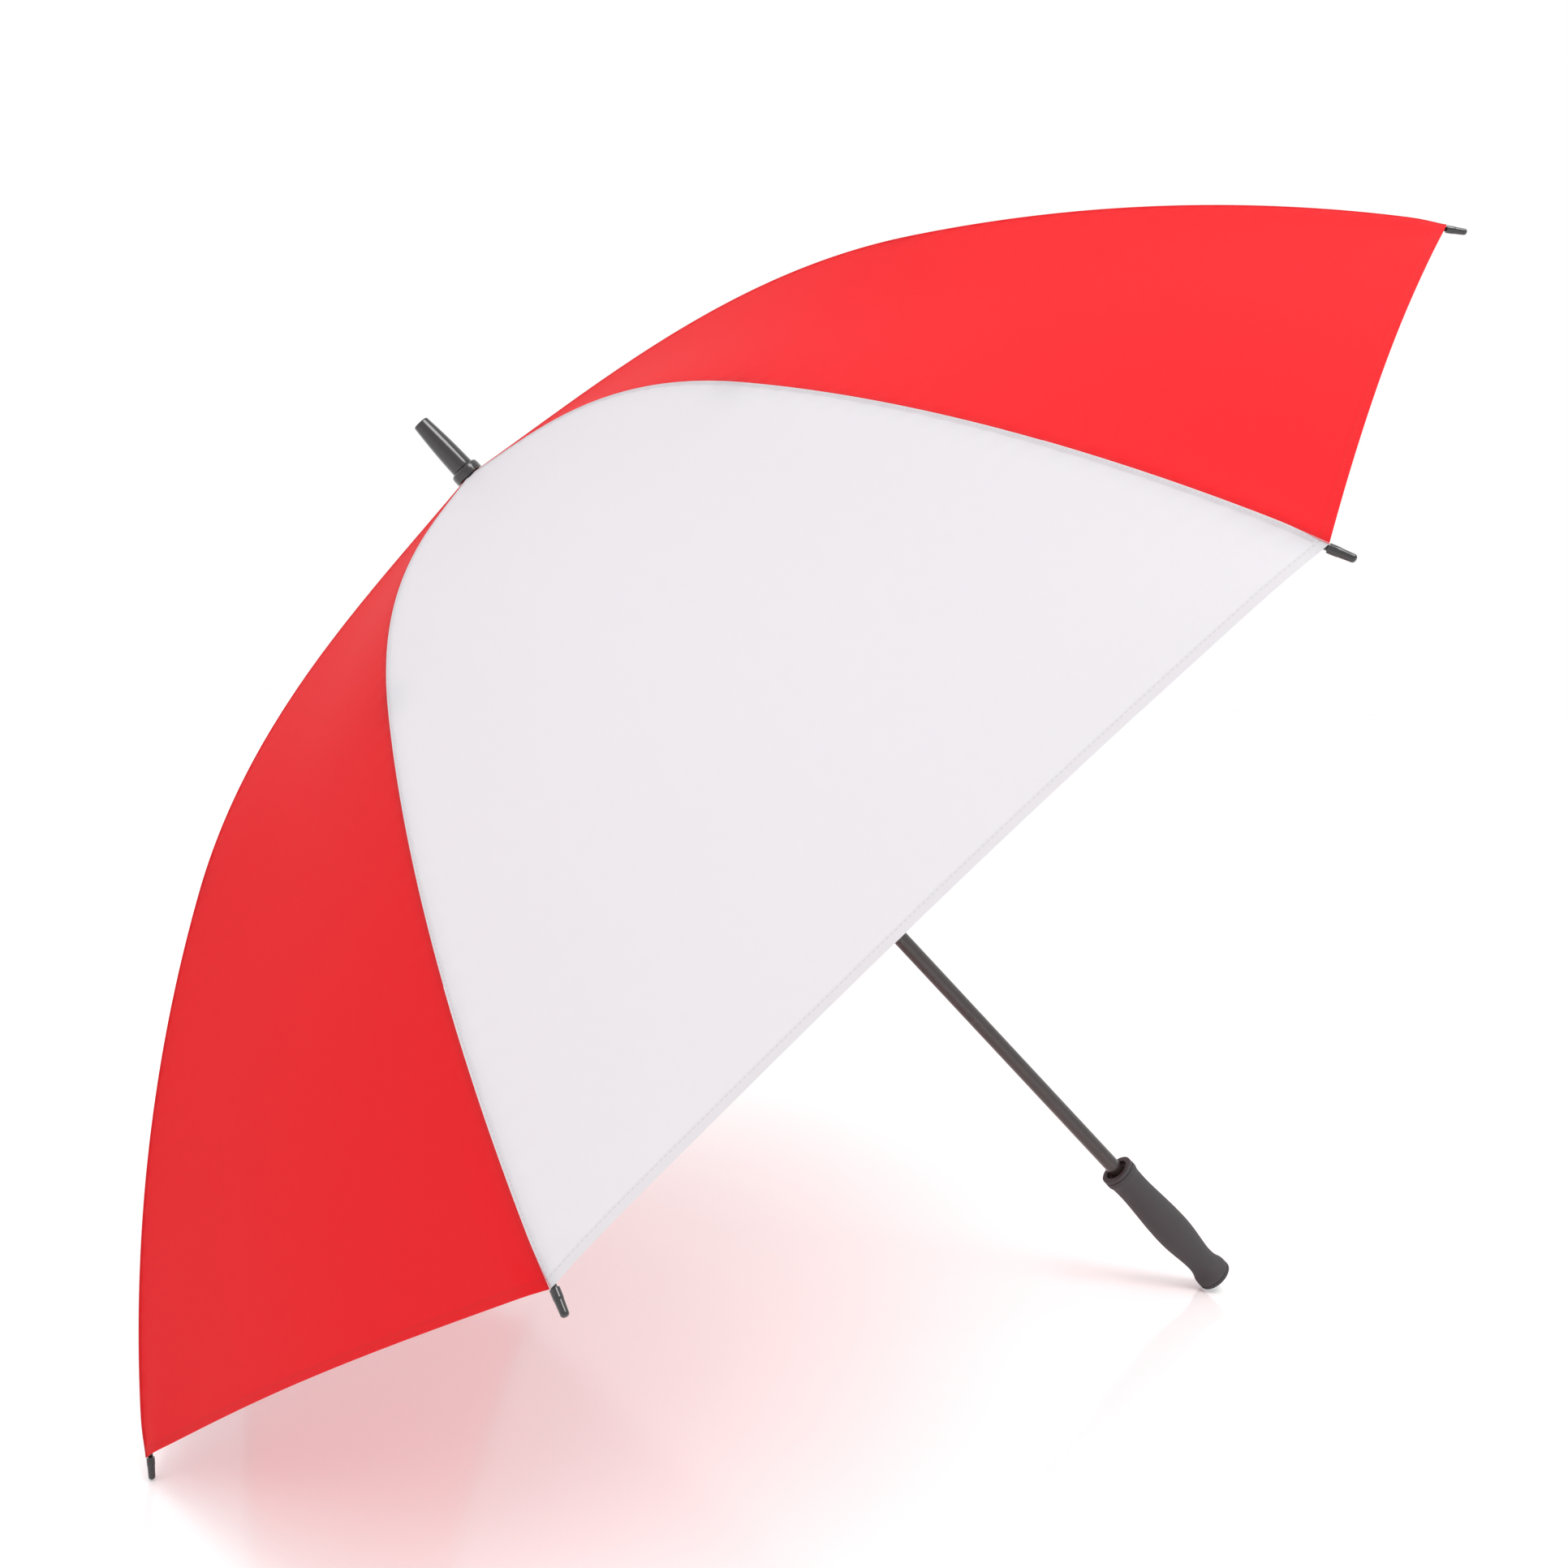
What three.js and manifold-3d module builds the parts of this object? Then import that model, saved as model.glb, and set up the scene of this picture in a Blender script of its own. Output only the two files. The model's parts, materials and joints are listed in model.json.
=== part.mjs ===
// A manual golf umbrella with eight ribs, open and lying on the floor on two rib tips and its grip.
// Units are millimetres. Each piece is drawn in the umbrella's own upright frame: the shaft is the
// Z axis, the ferrule points up, and Z = 0 is the plane of the canopy's eight corners. A nested
// group then leans the whole umbrella over until it rests on the floor.
import * as THREE from "three";
import { mergeGeometries, mergeVertices } from "three/addons/utils/BufferGeometryUtils.js";
import Module from "manifold-3d";

// ---- Driving dimensions ----
const RIBS = 8;
const PITCH = (2 * Math.PI) / RIBS;
const GAP = 0.3; // clearance between pieces that touch

const SHAFT_RADIUS = 6.75;
const SHAFT_BORE = 5.2;
const BORE = SHAFT_RADIUS + GAP; // inner radius of everything threaded onto the shaft

// Canopy outline in a rib's plane: [radius, height]
const CANOPY_CROWN = [8, 343.5];
const CANOPY_KNEE = [377, 245.5];
const CANOPY_CORNER = [660, 0];
const INNER_SAGITTA = 19.5; // how far each stretch bows outward from its chord
const INNER_SKEW = 0.45; // the inner stretch is straighter at the crown and bends more at the knee
const OUTER_SAGITTA = 16;
const FABRIC = 1.2;
const HEM_BOW = 0.007; // share of the panel's length that the hem is drawn in midway between ribs
const PANEL_SAG = 6; // how far a panel's middle is drawn below the straight line between its ribs

// Ribs and stretchers
const ROD_RADIUS = 1.6;
const ROD_SIDES = 6;
const ROD_DROP = 4.3; // rib centreline below the canopy's outer face
const PIN_RING = 12; // radius at which the ribs and the stretchers are pinned around the shaft
const CROWN_PIN = [PIN_RING, 339];
const STRETCHER_PIN = [368.5, 234.5]; // on the rib's fork, just below the rib
const INNER_ROD_STEPS = 9;
const OUTER_ROD_STEPS = 6;
const BLADE = 2.2; // thickness of the flat rod ends
const BLADE_LENGTH = 10;
const BLADE_LAP = 3; // how far a blade runs on into its rod
const EYE_RADIUS = 1.9;
const EYE_HOLE = 0.95; // round the wire ring
const FORK_EYE_RADIUS = 2.2;
const FORK_CHEEK = 1.3;
const FORK_GAP = 0.4; // between a cheek and the blade inside it
const FORK_ROOT = 17; // the fork's solid root starts this far before the elbow
const ROD_STOP = 11; // and the inner rod ends inside it, this far before the elbow
// The cheek's outline, as [along, up] from the root, the elbow and the stretcher's pin
const CHEEK_ROOT = [[-4, 1.5], [-4, -1.6]];
const CHEEK_ELBOW = [[-1.2, 1.9], [1.6, 1], [2, -1.6]];
const CHEEK_PIN = [[2.1, -1.4], [0.2, -2.4], [-2.4, -1.6]];
const RIVET = 0.8;
const RIVET_HEADS = 0.8; // both heads together stand this far out of the fork
const RIVET_HOLE = 1.2;
const STRETCHER_WIDTH = 2.4;
const STRETCHER_HEIGHT = 3.6;

// Tip caps
const TIP_RADIUS = 2.6;
const TIP_END_RADIUS = 2.2;
const TIP_LENGTH = 14;
const TIP_SKIRT = 0.35; // share of the cap that is straight before it narrows
const TIP_ROUND = 1.4; // length of its rounded end
const TIP_BLUNT = 0.4;
const TIP_FACETS = 8;

// Crown notch and runner
const HUB_RADIUS = 15.5;
const HUB_FLOOR = 9.3; // radius where the slots start
const SLOT = 3.2;
const NOTCH_BOTTOM = 331;
const NOTCH_TOP = 340.6;
const NOTCH_EDGE = 1; // chamfer round the bottom
const NOTCH_LIP = 1.2; // how far the lip above the wire draws in towards the top
const WIRE_RADIUS = 0.6;
const WIRE_GROOVE = 0.95;
const WIRE_SIDES = 5;
const RUNNER_HALF = 5;
const SLEEVE_RADIUS = 9.2;
const SLEEVE_LENGTH = 46;
const SLEEVE_EDGE = 0.7;
const SLEEVE_LAP = 1; // how far the sleeve runs into the slotted ring
const BUTTON_WIDTH = 5.4;
const BUTTON_HEIGHT = 15;
const BUTTON_INNER = 8.9;
const BUTTON_EDGE = 11.3; // radius at the button's ends
const BUTTON_CROWN = 13.5; // control radius of its curved face, which peaks halfway to it
const BUTTON_POCKET = 6; // depth of the window that the button sits in
const BUTTON_DROP = 26; // button centre below the runner's pin
const STOP_HEIGHT = 5;

// Ferrule
const COLLAR_RADIUS = 12.2;
const COLLAR_BOTTOM = 343.9;
const COLLAR_TOP = 352;
const COLLAR_SHOULDER = [[0, 3], [0.7, 1], [2.2, 0]]; // [in from the rim, down from the top]
const FERRULE_BASE_RADIUS = 9.2;
const FERRULE_END_RADIUS = 6.6;
const FERRULE_END = 399.6;
const FERRULE_EDGE = 0.8;
const FERRULE_BULGE = 0.5;
const FERRULE_STEPS = 5;
const STEM_RADIUS = SHAFT_BORE - GAP;
const STEM_LENGTH = 20;

// Handle
const GRIP_TOP = -462;
const GRIP_END = -601;
const RING_HEIGHT = 3.2;
const RING_RADIUS = 15;
const RING_BORE = 10.2;
const CAP_HEIGHT = 3.4;
const CAP_RADIUS = 15.6;
const CAP_EDGE = 1.2; // the flat end is this much smaller in radius
const CAP_BEVEL = 1;
const GRIP_STEPS = 14;

const PANEL_ROWS = 16; // even, so that one row lies on the knee
const PANEL_COLUMNS = 4;
const TURN_FACETS = 20;
const HUB_FACETS = 32;
const OVERCUT = 2; // how far a cutter passes the body it cuts

// ---- Materials ----
const material = (color, roughness, metalness = 0) =>
  new THREE.MeshStandardMaterial({ color, roughness, metalness });
const RED = material("#dd2b3c", 0.8);
const WHITE = material("#eeedf0", 0.8);
const BLACK_PLASTIC = material("#17151a", 0.3);
const FIBREGLASS = material("#241d1c", 0.35);
const STEEL = material("#8d8f93", 0.35, 1);
const RUBBER = material("#434144", 0.85);

const wasm = await Module();
wasm.setup();

// ---- Solids ----
function bare(geometry) {
  const g = geometry.clone();
  for (const name of Object.keys(g.attributes)) if (name !== "position") g.deleteAttribute(name);
  return mergeVertices(g, 1e-4);
}

function solid(geometry) {
  const g = bare(geometry);
  return new wasm.Manifold(
    new wasm.Mesh({
      numProp: 3,
      vertProperties: new Float32Array(g.attributes.position.array),
      triVerts: new Uint32Array(g.index.array),
    }),
  );
}

function geometryOf(manifold) {
  const mesh = manifold.getMesh();
  const g = new THREE.BufferGeometry();
  g.setAttribute("position", new THREE.BufferAttribute(new Float32Array(mesh.vertProperties), 3));
  g.setIndex(new THREE.BufferAttribute(new Uint32Array(mesh.triVerts), 1));
  g.computeVertexNormals();
  return g;
}

// ---- Plane curves and outlines, as [radius, height] points ----
const toVector = ([x, y]) => new THREE.Vector2(x, y);

// A curve from a to b that bows outward by sagitta at its middle; skew moves the bow towards b.
// u runs from 0 to 1, and distances along the curve are measured on its chord.
function bow(a, b, sagitta, skew = 0) {
  const start = toVector(a);
  const chord = toVector(b).sub(start);
  const out = new THREE.Vector2(-chord.y, chord.x).normalize();
  const lean = (u) => 1 + skew * (2 * u - 1);
  const height = (u) => 4 * sagitta * u * (1 - u) * lean(u);
  const slope = (u) => 4 * sagitta * ((1 - 2 * u) * lean(u) + 2 * skew * u * (1 - u));
  const tangent = (u) => chord.clone().addScaledVector(out, slope(u)).normalize();
  return {
    length: chord.length(),
    tangent,
    at: (u) => start.clone().addScaledVector(chord, u).addScaledVector(out, height(u)),
    normal(u) {
      const t = tangent(u);
      return new THREE.Vector2(-t.y, t.x);
    },
  };
}

const canopyInner = bow(CANOPY_CROWN, CANOPY_KNEE, INNER_SAGITTA, INNER_SKEW);
const canopyOuter = bow(CANOPY_KNEE, CANOPY_CORNER, OUTER_SAGITTA);
const below = (curve, u) => curve.at(u).addScaledVector(curve.normal(u), -ROD_DROP);
const ELBOW = below(canopyOuter, 0).toArray();
const RIB_END = below(canopyOuter, 1).toArray();
const ribInner = bow(CROWN_PIN, ELBOW, INNER_SAGITTA, INNER_SKEW);
const ribOuter = bow(ELBOW, RIB_END, OUTER_SAGITTA);
const RUNNER_PIN = [PIN_RING, 2 * STRETCHER_PIN[1] - CROWN_PIN[1]];

// A plate in the rib's plane: the outline is extruded to its thickness, half to each side.
function plate(shape, thickness, offset = 0, curveSegments = 2) {
  const g = new THREE.ExtrudeGeometry(shape, { depth: thickness, bevelEnabled: false, curveSegments });
  g.translate(0, 0, offset - thickness / 2);
  return g.rotateX(Math.PI / 2);
}

// A link outline: two eyes joined by straight sides, with a hole in each eye that has a hole radius.
function link(a, b, radiusA, radiusB, holeA, holeB) {
  const start = toVector(a);
  const end = toVector(b);
  const angle = end.clone().sub(start).angle();
  const shape = new THREE.Shape();
  shape.absarc(start.x, start.y, radiusA, angle + Math.PI / 2, angle + (3 * Math.PI) / 2);
  shape.absarc(end.x, end.y, radiusB, angle - Math.PI / 2, angle + Math.PI / 2);
  shape.closePath();
  for (const [centre, radius] of [[start, holeA], [end, holeB]]) {
    if (!radius) continue;
    shape.holes.push(new THREE.Path().absarc(centre.x, centre.y, radius, 0, 2 * Math.PI, true));
  }
  return shape;
}

// A round rod along a curve, from share u0 to share u1.
function rod(curve, u0, u1, steps) {
  class RodPath extends THREE.Curve {
    getPoint(t) {
      const p = curve.at(u0 + (u1 - u0) * t);
      return new THREE.Vector3(p.x, 0, p.y);
    }
  }
  const section = new THREE.Shape().absarc(0, 0, ROD_RADIUS, 0, 2 * Math.PI);
  const options = { steps, curveSegments: ROD_SIDES / 2, extrudePath: new RodPath() };
  return new THREE.ExtrudeGeometry(section, options);
}

function rivet(centre, length) {
  const g = new THREE.CylinderGeometry(RIVET, RIVET, length, ROD_SIDES);
  return g.translate(centre[0], 0, centre[1]);
}

// ---- Repeated pieces, drawn in the plane y = 0 ----
function inRibPlane(curve, distance) {
  return curve.at(distance / curve.length).toArray();
}

function ribInnerGeometry() {
  const forkThickness = BLADE + 2 * (FORK_GAP + FORK_CHEEK);
  const cheekOffset = BLADE / 2 + FORK_GAP + FORK_CHEEK / 2;
  const web = inRibPlane(ribInner, ribInner.length - FORK_ROOT);
  const rodEnd = inRibPlane(ribInner, ribInner.length - ROD_STOP);
  const bladeEnd = inRibPlane(ribInner, BLADE_LENGTH + BLADE_LAP);
  const eye = plate(link(CROWN_PIN, bladeEnd, EYE_RADIUS, ROD_RADIUS, EYE_HOLE, 0), BLADE);
  const around = ([x, z], offsets) => offsets.map(([dx, dz]) => new THREE.Vector2(x + dx, z + dz));
  const [rootTop, rootBottom] = around(web, CHEEK_ROOT);
  const cheek = new THREE.Shape([
    rootTop,
    ...around(ELBOW, CHEEK_ELBOW),
    ...around(STRETCHER_PIN, CHEEK_PIN),
    rootBottom,
  ]);
  const root = plate(link(web, rodEnd, ROD_RADIUS, ROD_RADIUS, 0, 0), forkThickness);
  const start = BLADE_LENGTH / ribInner.length;
  const end = 1 - ROD_STOP / ribInner.length;
  let body = solid(rod(ribInner, start, end, INNER_ROD_STEPS)).add(solid(eye)).add(solid(root));
  for (const side of [-1, 1]) body = body.add(solid(plate(cheek, FORK_CHEEK, side * cheekOffset)));
  for (const pin of [ELBOW, STRETCHER_PIN]) {
    body = body.add(solid(rivet(pin, forkThickness + RIVET_HEADS)));
  }
  return geometryOf(body);
}

function ribOuterGeometry() {
  const bladeEnd = inRibPlane(ribOuter, BLADE_LENGTH + BLADE_LAP);
  const eye = plate(link(ELBOW, bladeEnd, FORK_EYE_RADIUS, ROD_RADIUS, RIVET_HOLE, 0), BLADE);
  const rodSolid = solid(rod(ribOuter, BLADE_LENGTH / ribOuter.length, 1, OUTER_ROD_STEPS));
  return geometryOf(rodSolid.add(solid(eye)));
}

function stretcherGeometry() {
  const half = STRETCHER_HEIGHT / 2;
  const outline = link(STRETCHER_PIN, RUNNER_PIN, FORK_EYE_RADIUS, half, RIVET_HOLE, EYE_HOLE);
  return plate(outline, STRETCHER_WIDTH, 0, 3);
}

function tipGeometry() {
  const profile = [
    [0, 0],
    [TIP_RADIUS, 0],
    [TIP_RADIUS, TIP_LENGTH * TIP_SKIRT],
    [TIP_END_RADIUS, TIP_LENGTH - TIP_ROUND],
    [TIP_END_RADIUS * 0.7, TIP_LENGTH - TIP_BLUNT],
    [0, TIP_LENGTH],
  ].map(toVector);
  const tangent = ribOuter.tangent(1);
  const g = new THREE.LatheGeometry(profile, TIP_FACETS);
  g.rotateZ(tangent.angle() - Math.PI / 2);
  g.rotateX(Math.PI / 2);
  const start = toVector(RIB_END).addScaledVector(tangent, GAP);
  return g.translate(start.x, 0, start.y);
}

// A fabric panel: a grid over one gap between two ribs, closed with an inner face below it.
// Local azimuth 0 is the panel's middle. across runs from -1 at one rib to 1 at the next, and along
// from 0 at the crown through 0.5 at the knee to 1 at the hem.
function panelPoint(along, across, drop) {
  const share = along * (1 - HEM_BOW * (1 - across * across));
  const inner = share < 0.5;
  const curve = inner ? canopyInner : canopyOuter;
  const u = inner ? 2 * share : 2 * share - 1;
  const sag = PANEL_SAG * Math.sin(Math.PI * along) * (1 - across * across);
  const p = curve.at(u).addScaledVector(curve.normal(u), -drop - sag);
  const side = across * (p.x * Math.sin(PITCH / 2) - GAP);
  return [p.x * Math.cos(PITCH / 2), side, p.y];
}

function panelGeometry(rows, columns) {
  const points = [];
  for (const drop of [0, FABRIC]) {
    for (let i = 0; i <= rows; i++) {
      for (let j = 0; j <= columns; j++) points.push(...panelPoint(i / rows, (2 * j) / columns - 1, drop));
    }
  }
  const layer = (rows + 1) * (columns + 1);
  const at = (i, j, face) => face * layer + i * (columns + 1) + j;
  const index = [];
  const quad = (a, b, c, d) => index.push(a, b, c, a, c, d);
  for (let i = 0; i < rows; i++) {
    for (let j = 0; j < columns; j++) {
      quad(at(i, j, 0), at(i + 1, j, 0), at(i + 1, j + 1, 0), at(i, j + 1, 0));
      quad(at(i, j, 1), at(i, j + 1, 1), at(i + 1, j + 1, 1), at(i + 1, j, 1));
    }
    quad(at(i, 0, 0), at(i, 0, 1), at(i + 1, 0, 1), at(i + 1, 0, 0));
    quad(at(i, columns, 0), at(i + 1, columns, 0), at(i + 1, columns, 1), at(i, columns, 1));
  }
  for (let j = 0; j < columns; j++) {
    quad(at(0, j, 0), at(0, j + 1, 0), at(0, j + 1, 1), at(0, j, 1));
    quad(at(rows, j, 0), at(rows, j, 1), at(rows, j + 1, 1), at(rows, j + 1, 0));
  }
  const g = new THREE.BufferGeometry();
  g.setAttribute("position", new THREE.Float32BufferAttribute(points, 3));
  g.setIndex(index);
  g.computeVertexNormals();
  return g;
}

// ---- Pieces on the shaft ----
// A turned piece: the profile is [radius, height] points, on the axis or closed on itself.
function turned(profile, segments = TURN_FACETS) {
  return new THREE.LatheGeometry(profile.map(toVector), segments).rotateX(Math.PI / 2);
}

function ringProfile(inner, outer, bottom, top) {
  return [[inner, bottom], [outer, bottom], [outer, top], [inner, top], [inner, bottom]];
}

const ribAzimuth = (k) => -PITCH * (k - 0.5);
const panelAzimuth = (k) => -PITCH * k;

// Cuts the eight radial slots that the flat rod ends turn in.
function slotted(body, bottom, top) {
  const depth = HUB_RADIUS - HUB_FLOOR + OVERCUT;
  for (let k = 1; k <= RIBS; k++) {
    const cutter = new THREE.BoxGeometry(depth, SLOT, top - bottom + OVERCUT);
    cutter.translate(HUB_FLOOR + depth / 2, 0, (top + bottom) / 2).rotateZ(ribAzimuth(k));
    body = body.subtract(solid(cutter));
  }
  return body;
}

function crownNotchGeometry() {
  const groove = CROWN_PIN[1];
  const profile = [
    [BORE, NOTCH_BOTTOM],
    [HUB_RADIUS - NOTCH_EDGE, NOTCH_BOTTOM],
    [HUB_RADIUS, NOTCH_BOTTOM + NOTCH_EDGE],
    [HUB_RADIUS, groove - WIRE_GROOVE],
    [PIN_RING - WIRE_GROOVE, groove - WIRE_GROOVE],
    [PIN_RING - WIRE_GROOVE, groove + WIRE_GROOVE],
    [HUB_RADIUS - NOTCH_LIP / 2, groove + WIRE_GROOVE],
    [HUB_RADIUS - NOTCH_LIP, NOTCH_TOP],
    [BORE, NOTCH_TOP],
    [BORE, NOTCH_BOTTOM],
  ];
  return geometryOf(slotted(solid(turned(profile, HUB_FACETS)), NOTCH_BOTTOM, NOTCH_TOP));
}

function runnerGeometry() {
  const bottom = RUNNER_PIN[1] - RUNNER_HALF;
  const top = RUNNER_PIN[1] + RUNNER_HALF;
  const ring = turned(ringProfile(BORE, HUB_RADIUS, bottom, top), HUB_FACETS);
  const foot = bottom - SLEEVE_LENGTH;
  const sleeve = turned(
    [
      [BORE, foot],
      [SLEEVE_RADIUS - SLEEVE_EDGE, foot],
      [SLEEVE_RADIUS, foot + SLEEVE_EDGE],
      [SLEEVE_RADIUS, bottom + SLEEVE_LAP],
      [BORE, bottom + SLEEVE_LAP],
      [BORE, foot],
    ],
    HUB_FACETS,
  );
  const window = new THREE.BoxGeometry(BUTTON_POCKET, BUTTON_WIDTH + 2 * GAP, BUTTON_HEIGHT + 2 * GAP);
  window.translate(BORE - 1 + BUTTON_POCKET / 2, 0, RUNNER_PIN[1] - BUTTON_DROP);
  return geometryOf(slotted(solid(ring), bottom, top).add(solid(sleeve)).subtract(solid(window)));
}

function releaseButtonGeometry() {
  const half = BUTTON_HEIGHT / 2;
  const z = RUNNER_PIN[1] - BUTTON_DROP;
  const shape = new THREE.Shape();
  shape.moveTo(BUTTON_INNER, z - half);
  shape.lineTo(BUTTON_EDGE, z - half);
  shape.quadraticCurveTo(BUTTON_CROWN, z, BUTTON_EDGE, z + half);
  shape.lineTo(BUTTON_INNER, z + half);
  shape.closePath();
  return plate(shape, BUTTON_WIDTH, 0, 8);
}

function ferruleGeometry() {
  const bottom = COLLAR_TOP + GAP;
  const stemEnd = bottom - STEM_LENGTH;
  const profile = [[0, stemEnd], [STEM_RADIUS, stemEnd], [STEM_RADIUS, bottom]];
  for (let i = 0; i <= FERRULE_STEPS; i++) {
    const t = i / FERRULE_STEPS;
    const taper = FERRULE_BASE_RADIUS + (FERRULE_END_RADIUS - FERRULE_BASE_RADIUS) * t;
    const height = bottom + (FERRULE_END - FERRULE_EDGE - bottom) * t;
    profile.push([taper + FERRULE_BULGE * Math.sin(Math.PI * t), height]);
  }
  profile.push([FERRULE_END_RADIUS - FERRULE_EDGE, FERRULE_END], [0, FERRULE_END]);
  return turned(profile);
}

function collarGeometry() {
  return turned([
    [BORE, COLLAR_BOTTOM],
    [COLLAR_RADIUS, COLLAR_BOTTOM],
    ...COLLAR_SHOULDER.map(([inward, down]) => [COLLAR_RADIUS - inward, COLLAR_TOP - down]),
    [BORE, COLLAR_TOP],
    [BORE, COLLAR_BOTTOM],
  ]);
}

// The grip's waist and bulge: [share of the grip's length from its top, radius].
const GRIP_OUTLINE = [
  [0, 15.1],
  [0.035, 15.1],
  [0.075, 13.9],
  [0.2, 13.7],
  [0.45, 15.6],
  [0.62, 15.6],
  [0.82, 12.7],
  [0.9, 13.0],
  [0.955, 15.2],
  [1, 15.6],
];

function gripGeometry() {
  const top = GRIP_TOP - RING_HEIGHT - GAP;
  const bottom = GRIP_END + CAP_HEIGHT + GAP;
  const points = GRIP_OUTLINE.map(([t, radius]) => new THREE.Vector2(radius, top + (bottom - top) * t));
  const outer = new THREE.SplineCurve(points).getPoints(GRIP_STEPS).map((p) => p.toArray());
  return turned([[BORE, bottom], [BORE, top], ...outer, [BORE, bottom]].reverse());
}

function gripEndCapGeometry() {
  const top = GRIP_END + CAP_HEIGHT;
  const profile = [
    [0, GRIP_END],
    [CAP_RADIUS - CAP_EDGE, GRIP_END],
    [CAP_RADIUS, GRIP_END + CAP_BEVEL],
    [CAP_RADIUS, top],
    [STEM_RADIUS, top],
    [STEM_RADIUS, top + STEM_LENGTH],
    [0, top + STEM_LENGTH],
  ];
  return turned(profile);
}

function shaftGeometry() {
  const bottom = GRIP_END + CAP_HEIGHT + 2 * GAP;
  return turned(ringProfile(SHAFT_BORE, SHAFT_RADIUS, bottom, COLLAR_TOP - GAP));
}

function crownWireGeometry() {
  const g = new THREE.TorusGeometry(PIN_RING, WIRE_RADIUS, WIRE_SIDES, 3 * RIBS);
  return g.translate(0, 0, CROWN_PIN[1]);
}

// ---- Assembly ----
const umbrella = new THREE.Group();

function add(name, geometry, look, azimuth = 0) {
  const mesh = new THREE.Mesh(geometry, look);
  mesh.name = name;
  mesh.rotation.z = azimuth;
  umbrella.add(mesh);
}

add("shaft", shaftGeometry(), FIBREGLASS);
add("ferrule", ferruleGeometry(), BLACK_PLASTIC);
add("ferrule_collar", collarGeometry(), BLACK_PLASTIC);
add("crown_notch", crownNotchGeometry(), BLACK_PLASTIC);
add("crown_wire", crownWireGeometry(), STEEL);
const stopBottom = RUNNER_PIN[1] + RUNNER_HALF + GAP;
const stopProfile = ringProfile(BORE, SLEEVE_RADIUS, stopBottom, stopBottom + STOP_HEIGHT);
add("runner_stop", turned(stopProfile), BLACK_PLASTIC);
add("runner", runnerGeometry(), BLACK_PLASTIC);
add("release_button", releaseButtonGeometry(), RED);
const gripRingProfile = ringProfile(RING_BORE, RING_RADIUS, GRIP_TOP - RING_HEIGHT, GRIP_TOP);
add("grip_top_ring", turned(gripRingProfile), RUBBER);
add("handle_grip", gripGeometry(), RUBBER);
add("grip_end_cap", gripEndCapGeometry(), RUBBER);

const ribInnerShape = ribInnerGeometry();
const ribOuterShape = ribOuterGeometry();
const stretcherShape = stretcherGeometry();
const tipShape = tipGeometry();
const panelShape = panelGeometry(PANEL_ROWS, PANEL_COLUMNS);
const isRed = (k) => k % 2 === 1; // the panels alternate round the canopy
for (let k = 1; k <= RIBS; k++) {
  add(`rib_${k}_inner`, ribInnerShape, FIBREGLASS, ribAzimuth(k));
  add(`rib_${k}_outer`, ribOuterShape, FIBREGLASS, ribAzimuth(k));
  add(`rib_${k}_tip`, tipShape, BLACK_PLASTIC, ribAzimuth(k));
  add(`stretcher_${k}`, stretcherShape, STEEL, ribAzimuth(k));
  add(`panel_${k}`, panelShape, isRed(k) ? RED : WHITE, panelAzimuth(k));
}

// ---- Resting pose ----
// The umbrella leans until the end spheres of the two lowest tip caps and the rim of the grip's
// end cap meet the floor. With lean b they are level when A cos b + B sin b = the tip's radius.
const tipCentre = toVector(RIB_END).addScaledVector(ribOuter.tangent(1), GAP + TIP_LENGTH - TIP_END_RADIUS);
const A = CAP_RADIUS - tipCentre.x * Math.cos(PITCH / 2);
const B = tipCentre.y - GRIP_END;
const LEAN = Math.atan2(B, A) - Math.acos(TIP_END_RADIUS / Math.hypot(A, B));

const leaning = new THREE.Group();
leaning.rotation.y = LEAN - Math.PI / 2;
leaning.add(umbrella);
const golfUmbrella = new THREE.Group();
golfUmbrella.add(leaning);

// The origin goes under the middle of the object's box, on the floor.
golfUmbrella.updateMatrixWorld(true);
const box = new THREE.Box3().setFromObject(golfUmbrella, true);
const middle = box.getCenter(new THREE.Vector3());
leaning.position.set(-middle.x, -middle.y, -box.min.z);

export default golfUmbrella;
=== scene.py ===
"""A red and white golf umbrella, open and lying on the floor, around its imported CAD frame.

Lengths are in metres. The umbrella is drawn in its own frame, with z up the shaft towards the
ferrule and z = 0 at the canopy's rim, and placed in the row frame by world() and rib_plane().
"""
import json
import math

import bmesh
import bpy
import numpy as np
from mathutils import Matrix, Vector

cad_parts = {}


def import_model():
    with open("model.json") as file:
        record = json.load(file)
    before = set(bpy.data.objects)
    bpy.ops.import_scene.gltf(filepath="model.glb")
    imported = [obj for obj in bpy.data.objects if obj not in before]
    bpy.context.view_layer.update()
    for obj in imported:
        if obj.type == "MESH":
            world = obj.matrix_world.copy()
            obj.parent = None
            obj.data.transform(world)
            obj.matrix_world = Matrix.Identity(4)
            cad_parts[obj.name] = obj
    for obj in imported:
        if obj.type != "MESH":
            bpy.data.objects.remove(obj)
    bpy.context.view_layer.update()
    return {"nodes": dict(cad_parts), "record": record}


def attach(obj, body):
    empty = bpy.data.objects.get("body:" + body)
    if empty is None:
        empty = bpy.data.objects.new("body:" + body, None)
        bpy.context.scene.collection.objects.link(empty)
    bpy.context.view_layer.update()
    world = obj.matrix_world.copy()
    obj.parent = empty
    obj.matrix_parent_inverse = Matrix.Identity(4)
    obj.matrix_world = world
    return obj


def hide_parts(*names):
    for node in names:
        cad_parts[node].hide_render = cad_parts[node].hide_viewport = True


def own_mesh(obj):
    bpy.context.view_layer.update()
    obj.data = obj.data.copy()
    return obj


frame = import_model()

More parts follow.
